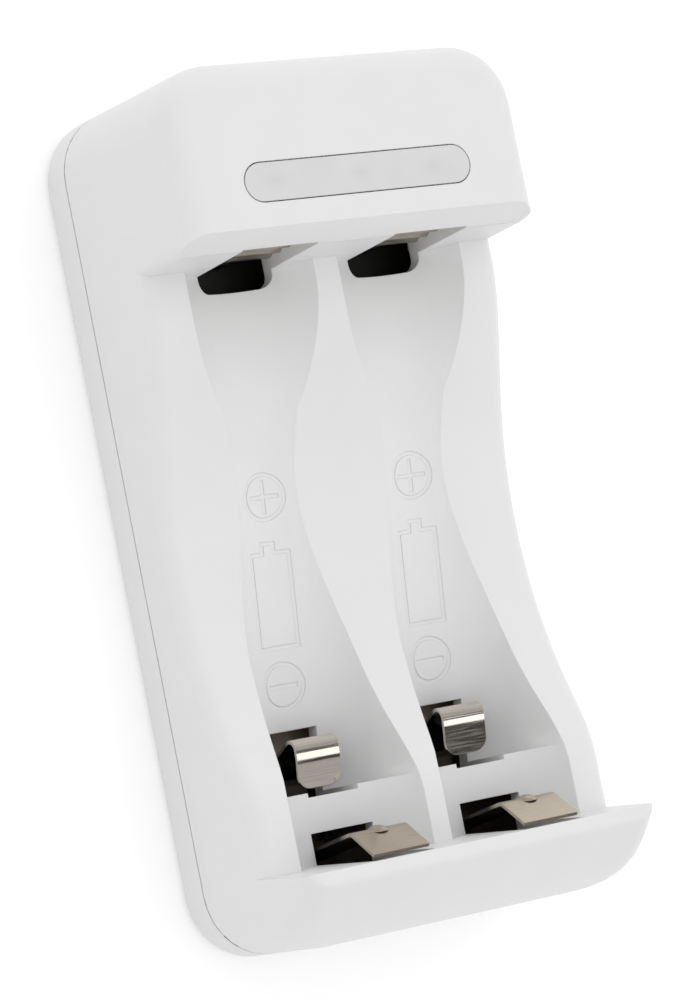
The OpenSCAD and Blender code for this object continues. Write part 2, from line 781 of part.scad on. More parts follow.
// AA spring: upright leg, crest with a dimple, and a ramp that leads the cell in from the front
module aa_contact(s) {
    ramp_y = crest_cy + (crest_r - strip_t / 2) * cos(ramp_slope);
    ramp_z = crest_z + (crest_r - strip_t / 2) * sin(ramp_slope);
    dome_r = (dimple_r * dimple_r + dimple_h * dimple_h) / (2 * dimple_h);
    dome_a = ramp_slope * 0.4;
    color(nickel)
        translate([s * pitch / 2, 0, 0]) {
            along_x(spring_w) {
                translate([crest_cy, crest_z])
                    strip_bend(crest_r, -spring_lean, ramp_slope);
                strip_run([spring_leg_y, spring_leg_z], -90 - spring_lean,
                    (spring_leg_z - hook_root_z) / cos(spring_lean));
                strip_run([ramp_y, ramp_z], 90 + ramp_slope, (ramp_end_z - ramp_z) / cos(ramp_slope));
            }
            translate([0, crest_cy, crest_z])
                rotate([dome_a, 0, 0])
                    intersection() {
                        translate([0, crest_r - strip_t / 3 + dimple_h - dome_r, 0])
                            sphere(r = dome_r, $fn = 64);
                        translate([-dimple_r, crest_r - strip_t / 2, -dimple_r])
                            cube(2 * dimple_r);
                    }
        }
}

module circuit_board() {
    notch_x = board_w / 2 - boss_xy[1][0] + boss_d / 2 + boss_room;
    notch_y = board_y1 - boss_xy[1][1] + boss_d / 2 + boss_room;
    tail_hole = [tail_w + 2 * board_hole_clear, strip_t + 2 * board_hole_clear, 4 * board_t];
    color([0.1, 0.3, 0.18])
        difference() {
            translate([-board_w / 2, board_y0, board_z])
                cube([board_w, board_y1 - board_y0, board_t]);
            for (s = sides)
                translate([s * board_w / 2, board_y1, board_z + board_t / 2])
                    cube([2 * notch_x, 2 * notch_y, board_t + 2], center = true);
            for (s = sides)
                for (y = post_ys)
                    translate([s * post_x, y, board_z - 1])
                        cylinder(d = pin_d + 2 * board_hole_clear, h = board_t + 2, $fn = 48);
            for (s = sides)
                translate([s * pitch / 2, plate_y + strip_seat + strip_t / 2, board_z])
                    cube(tail_hole, center = true);
        }
}

module usb_shell() {
    color(nickel)
        difference() {
            usb_along_y(usb_y - usb_l, usb_y, 0);
            usb_along_y(usb_y - usb_l + usb_t, usb_y + 1, -usb_t);
        }
}

// Contact tongue of the inlet, on a block at its back
module usb_tongue() {
    block_w = usb_w - 3;
    blade_w = block_w - 0.8;
    blade_t = 0.6;
    inside_h = usb_h - 2 * usb_t;
    color(black)
        translate([0, usb_y - usb_l + usb_t, board_top + usb_t]) {
            translate([-block_w / 2, 0, 0])
                cube([block_w, 1, inside_h]);
            translate([-blade_w / 2, 0, inside_h / 2])
                cube([blade_w, usb_l - 1.2, blade_t]);
        }
}

// A light on the board below its guide
module led(s) {
    color([0.9, 0.9, 0.8])
        translate([s * guide_pitch / 2 - led_size[0] / 2, window_y - led_size[1] / 2, board_top])
            cube(led_size);
}

// A flat-pack chip with gull-wing legs on two sides
module flat_pack(size, legs, leg_pitch, leg_w) {
    foot_l = 0.6;
    lift = 0.1;
    color(black)
        translate([-size[0] / 2, -size[1] / 2, lift])
            cube([size[0], size[1], size[2] - lift]);
    color(nickel)
        for (i = [0:legs - 1])
            translate([(i - (legs - 1) / 2) * leg_pitch - leg_w / 2, -size[1] / 2 - foot_l, 0])
                cube([leg_w, size[1] + 2 * foot_l, size[2] / 2]);
}

module charge_controller() {
    translate([0, chip_y, board_top])
        flat_pack([5, 3.9, 1.3], 4, 1.27, 0.42);
}

module transistor(s) {
    translate([s * board_w * 0.29, chip_y, board_top])
        flat_pack([2.9, 1.5, 1.1], 2, 1.9, 0.45);
}

module sense_resistors() {
    size = [3.2, 1.6, 0.6];
    color(black)
        for (s = sides)
            translate([s * board_w * 0.18 - size[0] / 2, chip_y + 3.8, board_top])
                cube(size);
}

module input_capacitor() {
    can_d = 5;
    can_h = 5.4;
    base = [5.2, 5.2, 0.6];
    color([0.75, 0.75, 0.76])
        translate([usb_w / 2 + 1.3 + base[0] / 2, usb_y - usb_l, board_top]) {
            cylinder(d = can_d, h = can_h, $fn = 48);
            translate([-base[0] / 2, -base[1] / 2, 0])
                cube(base);
        }
}

module diodes() {
    size = [2.6, 1.6, 1];
    color(black)
        for (s = sides)
            translate([s * board_w * 0.37 - size[0] / 2, chip_y + 3.4, board_top])
                cube(size);
}

// One corner-cutting pass, which rounds the bends of a route
function rounded_route(r) = concat(
    [r[0]],
    [for (i = [0:len(r) - 2]) each [r[i] * 0.75 + r[i + 1] * 0.25, r[i] * 0.25 + r[i + 1] * 0.75]],
    [r[len(r) - 1]]
);

// A round wire along a route, as one closed tube
module wire(route, d) {
    n = 10;
    last = len(route) - 1;
    points = [for (i = [0:last]) let (
            along = route[min(i + 1, last)] - route[max(i - 1, 0)],
            across = cross(along, [0, 0, 1]) / norm(cross(along, [0, 0, 1])),
            up = cross(across, along) / norm(along)
        ) for (j = [0:n - 1]) route[i] + d / 2 * (cos(360 * j / n) * across + sin(360 * j / n) * up)];
    walls = [for (i = [0:last - 1]) for (j = [0:n - 1]) let (
            a = i * n + j,
            b = i * n + (j + 1) % n
        ) each [[a, b + n, b], [a, a + n, b + n]]];
    start = [for (j = [0:n - 1]) j];
    finish = [for (j = [n - 1:-1:0]) last * n + j];
    polyhedron(points = points, faces = concat(walls, [start, finish]));
}

// Lead from the low-end springs, along the floor between the troughs, up to the board
module lead(s) {
    z = rear_floor + lead_d / 2 + strip_seat;
    x_in = lead_d;
    x_out = pitch / 2 - spring_w / 2 - lead_d / 2 - root_clear;
    route = [
        [x_out, spring_hinge_y, z], [x_out, hook_hinge_y, z], [x_in, hook_hinge_y + 4, z],
        [x_in, board_y0 + 1, z], [x_in, board_y0 + 3, board_z - lead_d / 2 - strip_seat]
    ];
    color([0.15, 0.15, 0.16])
        wire(rounded_route([for (p = route) [s * p[0], p[1], p[2]]]), lead_d);
}

module case_screws() {
    cross_l = 2.2;
    cross_w = 0.5;
    cross_h = 0.6;
    color([0.5, 0.5, 0.52])
        for (p = boss_xy)
            translate([p[0], p[1], screw_seat_z]) {
                cylinder(d = screw_d, h = screw_l - screw_seat_z, $fn = 48);
                difference() {
                    translate([0, 0, -screw_head_t])
                        cylinder(d = screw_head_d, h = screw_head_t, $fn = 48);
                    for (a = [0, 90])
                        rotate(a)
                            translate([0, 0, -screw_head_t])
                                cube([cross_l, cross_w, 2 * cross_h], center = true);
                }
            }
}

front_shell();
rear_cover();
indicator_window();
positive_contact(-1);  // positive_contact_left
positive_contact(1);  // positive_contact_right
aaa_contact(-1);  // aaa_contact_left
aaa_contact(1);  // aaa_contact_right
aa_contact(-1);  // aa_contact_left
aa_contact(1);  // aa_contact_right
circuit_board();
usb_shell();
usb_tongue();
led(-1);  // led_left
led(1);  // led_right
charge_controller();
transistor(-1);  // transistor_left
transistor(1);  // transistor_right
sense_resistors();
input_capacitor();
diodes();
lead(-1);  // lead_left
lead(1);  // lead_right
case_screws();
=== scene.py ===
import json
import math
import bmesh
import bpy
from mathutils import Matrix, Vector
from mathutils.bvhtree import BVHTree

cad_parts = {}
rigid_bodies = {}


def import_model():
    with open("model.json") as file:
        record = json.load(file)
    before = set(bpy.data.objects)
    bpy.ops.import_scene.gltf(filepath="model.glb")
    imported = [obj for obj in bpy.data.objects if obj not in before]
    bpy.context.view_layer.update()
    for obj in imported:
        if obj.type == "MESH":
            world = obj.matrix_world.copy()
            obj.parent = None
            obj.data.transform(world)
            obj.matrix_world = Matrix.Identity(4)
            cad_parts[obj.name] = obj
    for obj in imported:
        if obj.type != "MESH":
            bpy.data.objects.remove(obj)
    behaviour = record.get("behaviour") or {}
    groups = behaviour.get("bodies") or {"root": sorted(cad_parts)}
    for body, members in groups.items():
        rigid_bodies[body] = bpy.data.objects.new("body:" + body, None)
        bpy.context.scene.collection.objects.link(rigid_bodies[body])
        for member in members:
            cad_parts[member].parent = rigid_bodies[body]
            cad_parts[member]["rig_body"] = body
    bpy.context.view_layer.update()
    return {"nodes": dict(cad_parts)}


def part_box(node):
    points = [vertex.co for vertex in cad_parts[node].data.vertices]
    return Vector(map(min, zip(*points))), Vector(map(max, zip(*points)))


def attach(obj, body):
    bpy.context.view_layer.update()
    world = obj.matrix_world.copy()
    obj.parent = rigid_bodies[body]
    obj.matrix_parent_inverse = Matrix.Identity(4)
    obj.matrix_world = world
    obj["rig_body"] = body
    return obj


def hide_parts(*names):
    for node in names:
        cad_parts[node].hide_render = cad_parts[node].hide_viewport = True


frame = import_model()
mm = 0.001
scene = bpy.context.scene
scene.view_settings.view_transform = "Standard"
print("frame loaded:", len(frame["nodes"]), "nodes")

# camera, from the fit to the photograph

cameraFit = {
    "place": (-169.8, -24.575, 287.4),  # mm
    "right": (0.8442, -0.1940, 0.4997),
    "down": (-0.1273, -0.9781, -0.1646),
    "focal": 3750.0,  # pixels
    "imageHeight": 999.0,
    "sensor": 36.0,  # mm
    "clip": (0.01, 20.0),  # m
}


def addCamera(fit):
    right = Vector(fit["right"]).normalized()
    up = -Vector(fit["down"])
    up = (up - right * up.dot(right)).normalized()
    turn = Matrix((right, up, right.cross(up))).transposed().to_4x4()
    cam = bpy.data.objects.new("camera", bpy.data.cameras.new("camera"))
    cam.matrix_world = Matrix.Translation(Vector(fit["place"]) * mm) @ turn
    cam.data.sensor_fit = "VERTICAL"
    cam.data.sensor_height = fit["sensor"]
    cam.data.lens = fit["sensor"] * fit["focal"] / fit["imageHeight"]
    cam.data.clip_start, cam.data.clip_end = fit["clip"]
    scene.collection.objects.link(cam)
    scene.camera = cam


addCamera(cameraFit)
print("camera ready")

# small helpers for node trees

mixSockets = {"FLOAT": (2, 3, 0), "RGBA": (6, 7, 2)}  # first, second and result of a Mix node


def grey(v):
    return (v, v, v, 1)


def feed(links, socket, value):
    if isinstance(value, (int, float)):
        socket.default_value = value
    else:
        links.new(value, socket)


def addMath(nodes, links, operation, first, second):
    node = nodes.new("ShaderNodeMath")
    node.operation = operation
    feed(links, node.inputs[0], first)
    feed(links, node.inputs[1], second)
    return node.outputs[0]


def addMix(nodes, links, kind, factor, first, second, blend="MIX"):
    node = nodes.new("ShaderNodeMix")
    node.data_type = kind
    node.blend_type = blend
    one, two, result = mixSockets[kind]
    feed(links, node.inputs[0], factor)
    feed(links, node.inputs[one], first)
    feed(links, node.inputs[two], second)
    return node.outputs[result]


def addTint(nodes, links, colour, factor):
    return addMix(nodes, links, "RGBA", 1, colour, factor, "MULTIPLY")


def addRange(nodes, links, source, fromEnds, toEnds):
    node = nodes.new("ShaderNodeMapRange")
    names = ("From Min", "From Max", "To Min", "To Max")
    for name, value in zip(names, (*fromEnds, *toEnds)):
        node.inputs[name].default_value = value
    links.new(source, node.inputs["Value"])
    return node.outputs[0]


def addRamp(nodes, links, source, stops):
    ramp = nodes.new("ShaderNodeValToRGB")
    elements = ramp.color_ramp.elements
    for i, (place, colour) in enumerate(stops):
        stop = elements[i] if i < len(elements) else elements.new(1)
        stop.position = place
        stop.color = colour
    links.new(source, ramp.inputs["Fac"])
    return ramp.outputs["Color"]


# studio: pale floor and a soft white surround, which the metal mirrors as soft boxes with dark gaps

studio = {
    "floorSize": 4.0,  # m
    "floorDrop": 0.02,  # mm
    "floorColour": grey(0.9),
    "floorGlow": 0.25,
    "skyStrength": 1.11,
    "lean": (0.16, 0.18, 0.12),  # the sides that more of the light comes from
    "boxStrength": 2.0,
    "boxes": (  # along Y from -1 to 1, as shares of the box strength
        (-1.0, 0.3),
        (-0.43, 0.3),
        (-0.352, 0.3),
        (-0.336, 0.03),
        (-0.282, 0.03),
        (-0.268, 1.0),
        (-0.09, 1.0),
        (-0.072, 0.1),
        (-0.015, 0.1),
        (0.06, 0.27),
        (0.5, 0.31),
        (1.0, 0.44),
    ),
}


# 1 for the rays that show the background: straight, mirrored or through glass
def addShownRay(nodes, links, path):
    mirrored = addMath(nodes, links, "MAXIMUM", path["Is Glossy Ray"], path["Is Transmission Ray"])
    return addMath(nodes, links, "MAXIMUM", path["Is Camera Ray"], mirrored)


def addFloor(s):
    bm = bmesh.new()
    bmesh.ops.create_grid(bm, x_segments=1, y_segments=1, size=s["floorSize"] / 2)
    mesh = bpy.data.meshes.new("floor")
    bm.to_mesh(mesh)
    bm.free()
    floor = bpy.data.objects.new("floor", mesh)
    floor.location.z = -s["floorDrop"] * mm
    scene.collection.objects.link(floor)
    mat = bpy.data.materials.new("paleFloor")
    mat.use_nodes = True
    nodes, links = mat.node_tree.nodes, mat.node_tree.links
    nodes.clear()
    out = nodes.new("ShaderNodeOutputMaterial")
    diffuse = nodes.new("ShaderNodeBsdfDiffuse")
    diffuse.inputs["Color"].default_value = s["floorColour"]
    glow = nodes.new("ShaderNodeEmission")
    shown = addShownRay(nodes, links, nodes.new("ShaderNodeLightPath").outputs)
    links.new(addMath(nodes, links, "MULTIPLY", shown, s["floorGlow"]), glow.inputs["Strength"])
    add = nodes.new("ShaderNodeAddShader")
    links.new(diffuse.outputs[0], add.inputs[0])
    links.new(glow.outputs[0], add.inputs[1])
    links.new(add.outputs[0], out.inputs["Surface"])
    mesh.materials.append(mat)


def addWorld(s):
    world = bpy.data.worlds.new("studio")
    scene.world = world
    world.use_nodes = True
    nodes, links = world.node_tree.nodes, world.node_tree.links
    nodes.clear()
    out = nodes.new("ShaderNodeOutputWorld")
    sky = nodes.new("ShaderNodeBackground")
    coord = nodes.new("ShaderNodeTexCoord")

    def along(side):
        dot = nodes.new("ShaderNodeVectorMath")
        dot.operation = "DOT_PRODUCT"
        dot.inputs[1].default_value = side
        links.new(coord.outputs["Generated"], dot.inputs[0])
        return dot.outputs["Value"]

    half = 0.5  # takes -1 to 1 to the 0 to 1 of a ramp
    light = addMath(nodes, links, "ADD", along(s["lean"]), s["skyStrength"])
    place = addMath(nodes, links, "ADD", along((0, half, 0)), half)
    stops = [(y * half + half, grey(part)) for y, part in s["boxes"]]
    boxes = addRamp(nodes, links, place, stops)
    mirrored = addMath(nodes, links, "MULTIPLY", boxes, s["boxStrength"])
    path = nodes.new("ShaderNodeLightPath").outputs
    shown = addShownRay(nodes, links, path)
    seen = addMix(nodes, links, "FLOAT", path["Is Camera Ray"], mirrored, 1)
    links.new(addMix(nodes, links, "FLOAT", shown, light, seen), sky.inputs["Strength"])
    links.new(sky.outputs[0], out.inputs["Surface"])


addFloor(studio)
addWorld(studio)
print("studio ready")

# shared shader effects

grainDetail = {"Fine Scale": ("Height", 3), "Broad Scale": ("Mottle", 2)}  # output and noise detail
bevelSamples = 6


def makeGrainGroup(detail):
    group = bpy.data.node_groups.new("mouldGrain", "ShaderNodeTree")
    nodes, links = group.nodes, group.links
    for scaleName, (outName, _) in detail.items():
        group.interface.new_socket(scaleName, in_out="INPUT", socket_type="NodeSocketFloat")
        group.interface.new_socket(outName, in_out="OUTPUT", socket_type="NodeSocketFloat")
    inp = nodes.new("NodeGroupInput")
    out = nodes.new("NodeGroupOutput")
    coord = nodes.new("ShaderNodeTexCoord")
    for scaleName, (outName, level) in detail.items():
        noise = nodes.new("ShaderNodeTexNoise")
        noise.inputs["Detail"].default_value = level
        links.new(coord.outputs["Object"], noise.inputs["Vector"])
        links.new(inp.outputs[scaleName], noise.inputs["Scale"])
        links.new(noise.outputs["Fac"], out.inputs[outName])
    return group


grainGroup = makeGrainGroup(grainDetail)


def startMaterial(name):
    mat = bpy.data.materials.new(name)
    mat.use_nodes = True
    nodes, links = mat.node_tree.nodes, mat.node_tree.links
    nodes.clear()
    out = nodes.new("ShaderNodeOutputMaterial")
    bsdf = nodes.new("ShaderNodeBsdfPrincipled")
    links.new(bsdf.outputs[0], out.inputs["Surface"])
    return mat, nodes, links, bsdf


def addGrain(nodes, scales):
    node = nodes.new("ShaderNodeGroup")
    node.node_tree = grainGroup
    for name, scale in zip(grainDetail, scales):
        node.inputs[name].default_value = scale
    return node.outputs


# grain in the surface, and edges that catch the light as if rounded
def addSurface(nodes, links, bsdf, height, depthAndStrength, edgeRadius):
    depth, strength = depthAndStrength
    bump = nodes.new("ShaderNodeBump")
    bump.inputs["Distance"].default_value = depth * mm
    bump.inputs["Strength"].default_value = strength
    links.new(height, bump.inputs["Height"])
    if edgeRadius:
        soft = nodes.new("ShaderNodeBevel")
        soft.samples = bevelSamples
        soft.inputs["Radius"].default_value = edgeRadius * mm
        links.new(soft.outputs["Normal"], bump.inputs["Normal"])
    links.new(bump.outputs["Normal"], bsdf.inputs["Normal"])


# factor that fades along one axis of the object, from the least shade to 1
def addFade(nodes, links, axis, ends, least):
    coord = nodes.new("ShaderNodeTexCoord")
    apart = nodes.new("ShaderNodeSeparateXYZ")
    links.new(coord.outputs["Object"], apart.inputs[0])
    return addRange(nodes, links, apart.outputs[axis], [end * mm for end in ends], (least, 1))


# mouldings and small parts: two tones, mottled over the surface

grainedFinish = {
    "spread": (0.3, 0.7),  # where in the mottle the two tones stand
    "grain": (4000, 900),  # fine and broad
    "bump": (0.005, 0.3),  # mm and strength
    "edgeRadius": 0,  # mm
    "metallic": 0.0,
}


def makeGrained(name, finish, addShade=None):
    f = {**grainedFinish, **finish}
    mat, nodes, links, bsdf = startMaterial(name)
    grain = addGrain(nodes, f["grain"])
    tone = addRamp(nodes, links, grain["Mottle"], zip(f["spread"], f["tones"]))
    if addShade:
        tone = addTint(nodes, links, tone, addShade(nodes, links, f))
    links.new(tone, bsdf.inputs["Base Color"])
    bsdf.inputs["Roughness"].default_value = f["roughness"]
    bsdf.inputs["Metallic"].default_value = f["metallic"]
    addSurface(nodes, links, bsdf, grain["Height"], f["bump"], f["edgeRadius"])
    return mat


caseFinish = {
    "tones": (grey(0.840), grey(0.852)),
    "grain": (5200, 220),
    "bump": (0.004, 0.35),
    "roughness": 0.42,
    "edgeRadius": 0.12,
}

# window: the light guides behind it show as faint soft spots
windowFinish = {
    "tones": (grey(0.735), grey(0.76)),
    "spread": (0.35, 0.65),
    "grain": (2600, 300),
    "bump": (0.004, 0.2),
    "roughness": 0.24,
    "edgeRadius": 0.12,
    "spots": (-8.1, 0.2, 7.4),  # mm from the middle
    "spotSize": (1.9, 1.3),  # mm
    "spotShade": 0.93,
}


def addWindowSpots(nodes, links, f):
    low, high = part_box("indicator_window")
    middle = [(a + b) / 2 for a, b in zip(low, high)]
    wide, tall = f["spotSize"]
    coord = nodes.new("ShaderNodeTexCoord")
    shade = 1.0
    for x in f["spots"]:
        place = nodes.new("ShaderNodeMapping")
        place.vector_type = "TEXTURE"
        place.inputs["Location"].default_value = (middle[0] + x * mm, middle[1], 0)
        place.inputs["Scale"].default_value = (wide * mm, tall * mm, 1)
        links.new(coord.outputs["Object"], place.inputs["Vector"])
        spot = nodes.new("ShaderNodeTexGradient")
        spot.gradient_type = "QUADRATIC_SPHERE"
        links.new(place.outputs[0], spot.inputs["Vector"])
        fade = addRange(nodes, links, spot.outputs["Fac"], (0, 1), (1, f["spotShade"]))
        shade = addMath(nodes, links, "MULTIPLY", fade, shade)
    return shade


# cover's inside: painted shade, a dim brown, and darker still under the low end of the slots
coverFinish = {
    "tones": ((0.62, 0.48, 0.36, 1), (0.70, 0.55, 0.42, 1)),
    "roughness": 0.6,
    "paintedShadeY": (-22.0, -20.8),  # mm
    "leastShade": 0.12,
}


def addPaintedCoverShade(nodes, links, f):
    return addFade(nodes, links, "Y", f["paintedShadeY"], f["leastShade"])


smallFinishes = {
    "insideShade": {"tones": ((0.035, 0.030, 0.026, 1), (0.055, 0.046, 0.040, 1)), "roughness": 0.6},
    "solderMask": {"tones": ((0.0040, 0.0045, 0.0032, 1), (0.0065, 0.0070, 0.0050, 1)), "roughness": 0.55},
    "chipBlack": {"tones": (grey(0.012), grey(0.02)), "roughness": 0.5},
    "ledClear": {"tones": ((0.75, 0.74, 0.62, 1), (0.82, 0.8, 0.68, 1)), "roughness": 0.2},
    "canMetal": {"tones": (grey(0.55), grey(0.65)), "roughness": 0.3, "metallic": 1.0},
    "wireBlack": {"tones": (grey(0.012), grey(0.02)), "roughness": 0.45},
    "screwSteel": {"tones": (grey(0.38), grey(0.48)), "roughness": 0.35, "metallic": 1.0},
    "inletSteel": {"tones": (grey(0.5), grey(0.6)), "roughness": 0.3, "metallic": 1.0},
}

# plated strips: rolling lines along the strip, and painted shade: darker below the height where they would
# mirror the dark inside

rolledStrip = {
    "lineScale": (300, 6000, 6000),
    "lineDetail": 3,
    "spread": (0.35, 0.65),  # where in the lines the two tones stand
    "polishSpread": (0.3, 0.7),
    "lineDepth": 0.005,  # mm
    "edgeRadius": 0.06,  # mm
    "leastShade": 0.07,
}
stripFinishes = {
    "hookNickel": {
        "tones": ((0.68, 0.63, 0.56, 1), (0.74, 0.69, 0.62, 1)),
        "polish": (0.05, 0.13),
        "lines": 0.3,
        "paintedShadeZ": (8.0, 8.9),  # mm
    },
    "rampNickel": {
        "tones": ((0.46, 0.40, 0.325, 1), (0.51, 0.445, 0.365, 1)),
        "polish": (0.27, 0.36),
        "lines": 0.15,
        "paintedShadeZ": (15.0, 16.3),
    },
    "plateNickel": {
        "tones": ((0.47, 0.43, 0.37, 1), (0.56, 0.515, 0.45, 1)),
        "polish": (0.3, 0.42),
        "lines": 0.1,
        "paintedShadeZ": (8.0, 9.0),
    },
}


def makeNickel(name, f, r):
    mat, nodes, links, bsdf = startMaterial(name)
    coord = nodes.new("ShaderNodeTexCoord")
    roll = nodes.new("ShaderNodeMapping")
    roll.inputs["Scale"].default_value = r["lineScale"]
    links.new(coord.outputs["Object"], roll.inputs["Vector"])
    noise = nodes.new("ShaderNodeTexNoise")
    noise.inputs["Scale"].default_value = 1
    noise.inputs["Detail"].default_value = r["lineDetail"]
    links.new(roll.outputs[0], noise.inputs["Vector"])
    lines = noise.outputs["Fac"]
    tone = addRamp(nodes, links, lines, zip(r["spread"], f["tones"]))
    # painted shade: the strip's colour darkens towards its lower end
    fade = addFade(nodes, links, "Z", f["paintedShadeZ"], r["leastShade"])
    links.new(addTint(nodes, links, tone, fade), bsdf.inputs["Base Color"])
    bsdf.inputs["Metallic"].default_value = 1
    polish = addRange(nodes, links, lines, r["polishSpread"], f["polish"])
    links.new(polish, bsdf.inputs["Roughness"])
    addSurface(nodes, links, bsdf, lines, (r["lineDepth"], f["lines"]), r["edgeRadius"])
    return mat


mats = {
    "whiteMoulding": makeGrained("whiteMoulding", caseFinish),
    "frostedWindow": makeGrained("frostedWindow", windowFinish, addWindowSpots),
    "paintedCoverShade": makeGrained("paintedCoverShade", coverFinish, addPaintedCoverShade),
}
for matName, finish in smallFinishes.items():
    mats[matName] = makeGrained(matName, finish)
for matName, finish in stripFinishes.items():
    mats[matName] = makeNickel(matName, finish, rolledStrip)
print("materials ready:", len(mats))

# small helpers for meshes

closeEnough = 0.001  # mm


def mergeClose(bm):
    bmesh.ops.remove_doubles(bm, verts=bm.verts, dist=closeEnough * mm)
    bmesh.ops.dissolve_degenerate(bm, edges=bm.edges, dist=closeEnough * mm)


def mergedCopy(name):
    bm = bmesh.new()
    bm.from_mesh(frame["nodes"][name].data)
    mergeClose(bm)
    return bm


def cutAcross(bm, place, normal):
    everything = bm.verts[:] + bm.edges[:] + bm.faces[:]
    bmesh.ops.bisect_plane(bm, geom=everything, plane_co=place, plane_no=normal)


def share(value, low, high):
    return min(1, max(0, (value - low) / (high - low)))


# signs cut into the trough floors, laid out flat and then rolled onto the trough

troughSigns = {
    "pitch": 15.2,  # mm, as the rest
    "plateY": 21.925,
    "axisZ": 17.8,
    "tilt": 9.88329,  # degrees
    "radius": 5.4,
    "lineWidth": 0.34,
    "depth": 0.05,
    "lift": 0.4,
    "ringRadius": 1.95,
    "ringSides": 48,
    "barLength": 2.9,
    "plusAt": (0, 21.77),  # across the trough and along it from the head
    "minusAt": (-0.05, 38.25),
    "cellAt": (-0.1, 26.5),
    "cellSize": (4.2, 8.55),
    "nubSize": (1.5, 0.85),
    "rollStep": 0.4,
}


def flatRing(bm, s, at):
    rim = []
    for r in (s["ringRadius"] - s["lineWidth"] / 2, s["ringRadius"] + s["lineWidth"] / 2):
        place = Matrix.Translation((*at, 0))
        made = bmesh.ops.create_circle(bm, segments=s["ringSides"], radius=r, matrix=place)["verts"]
        rim += dict.fromkeys(edge for vert in made for edge in vert.link_edges)
    bmesh.ops.bridge_loops(bm, edges=rim)


def flatMinus(bm, s):
    size = Matrix.Diagonal((s["barLength"], s["lineWidth"], 1, 1))
    place = Matrix.Translation((*s["minusAt"], 0)) @ size
    unit = 0.5  # half of the side
    bmesh.ops.create_grid(bm, x_segments=1, y_segments=1, size=unit, matrix=place)


# a grid of nine without its corners, its lines then moved to the bars' edges
def flatPlus(bm, s):
    made = bmesh.ops.create_grid(bm, x_segments=3, y_segments=3, size=1)["verts"]
    nearRim = 0.5
    faces = dict.fromkeys(face for vert in made for face in vert.link_faces)
    corners = [f for f in faces if min(abs(c) for c in f.calc_center_median()[:2]) > nearRim]
    bmesh.ops.delete(bm, geom=corners, context="FACES")
    for vert in [v for v in made if v.is_valid]:
        for axis in (0, 1):
            size = s["barLength"] if abs(vert.co[axis]) > nearRim else s["lineWidth"]
            vert.co[axis] = math.copysign(size / 2, vert.co[axis]) + s["plusAt"][axis]


def flatCell(bm, s):
    cx, top = s["cellAt"]
    wide, long = s["cellSize"]
    nubWide, nubLong = s["nubSize"]
    right = [(nubWide / 2, top - nubLong), (nubWide / 2, top), (wide / 2, top), (wide / 2, top + long)]
    left = [(-x, y) for x, y in reversed(right)]
    face = bm.faces.new([bm.verts.new((cx + x, y, 0)) for x, y in right + left])
    face.normal_update()
    width = s["lineWidth"]
    bmesh.ops.inset_region(bm, faces=[face], thickness=width, use_boundary=True, use_even_offset=True)
    bmesh.ops.delete(bm, geom=[face], context="FACES")


def rollOntoTrough(bm, s, side):
    tilt = math.radians(s["tilt"])
    low = min(v.co.z for v in bm.verts)
    for vert in bm.verts:
        across, along, up = vert.co
        reach = s["radius"] - s["lift"] + up - low
        angle = across / s["radius"]
        down = reach * math.cos(angle)
        vert.co = (
            side * s["pitch"] / 2 + reach * math.sin(angle),
            s["plateY"] - along * math.cos(tilt) + down * math.sin(tilt),
            s["axisZ"] - along * math.sin(tilt) - down * math.cos(tilt),
        )


def signCutter(s, side):
    bm = bmesh.new()
    flatRing(bm, s, s["plusAt"])
    flatPlus(bm, s)
    flatCell(bm, s)
    flatRing(bm, s, s["minusAt"])
    flatMinus(bm, s)
    cuts = int(s["cellSize"][0] / 2 / s["rollStep"])
    for i in range(-cuts, cuts + 1):
        cutAcross(bm, (i * s["rollStep"], 0, 0), (1, 0, 0))
    bm.normal_update()
    bmesh.ops.reverse_faces(bm, faces=[f for f in bm.faces if f.normal.z < 0])
    bmesh.ops.solidify(bm, geom=bm.faces[:], thickness=s["lift"] + s["depth"])
    rollOntoTrough(bm, s, side)
    if bm.calc_volume(signed=True) < 0:
        bmesh.ops.reverse_faces(bm, faces=bm.faces[:])
    return bm


# slope that turns the head's underside up to its front face

headEdge = {
    "width": 38.0,  # mm, as the rest
    "frontZ": 22.2,
    "edgeY": 21.16,
    "lift": 1.25,
    "reach": 2.6,
    "backY": 21.06,
    "spare": 1.0,
    "bulge": 0.12,
    "steps": 6,
}


def headEdgeCutter(e):
    bm = bmesh.new()
    front = Vector((0, e["edgeY"] + e["lift"], e["frontZ"]))
    back = Vector((0, e["backY"], e["frontZ"] - e["reach"]))
    bow = Vector((0, -e["reach"], e["lift"])).normalized() * e["bulge"]
    outline = []
    for i in range(e["steps"] + 1):
        t = i / e["steps"]
        outline.append(front.lerp(back, t) + bow * (1 - (2 * t - 1) ** 2))
    outline.append(back - Vector((0, e["spare"], 0)))
    outline.append(Vector((0, e["backY"] - e["spare"], e["frontZ"] + e["spare"])))
    outline.append(front + Vector((0, 0, e["spare"])))
    half = Vector((e["width"] / 2, 0, 0))
    face = bm.faces.new([bm.verts.new(point - half) for point in outline])
    made = bmesh.ops.extrude_face_region(bm, geom=[face], use_keep_orig=True)["geom"]
    farSide = [v for v in made if isinstance(v, bmesh.types.BMVert)]
    bmesh.ops.translate(bm, verts=farSide, vec=half * 2)
    bmesh.ops.recalc_face_normals(bm, faces=bm.faces[:])
    return bm


def temporaryObject(bm, name, scale=1.0):
    bmesh.ops.scale(bm, vec=(scale, scale, scale), verts=bm.verts)
    mesh = bpy.data.meshes.new(name)
    bm.to_mesh(mesh)
    bm.free()
    thing = bpy.data.objects.new(name, mesh)
    scene.collection.objects.link(thing)
    return thing


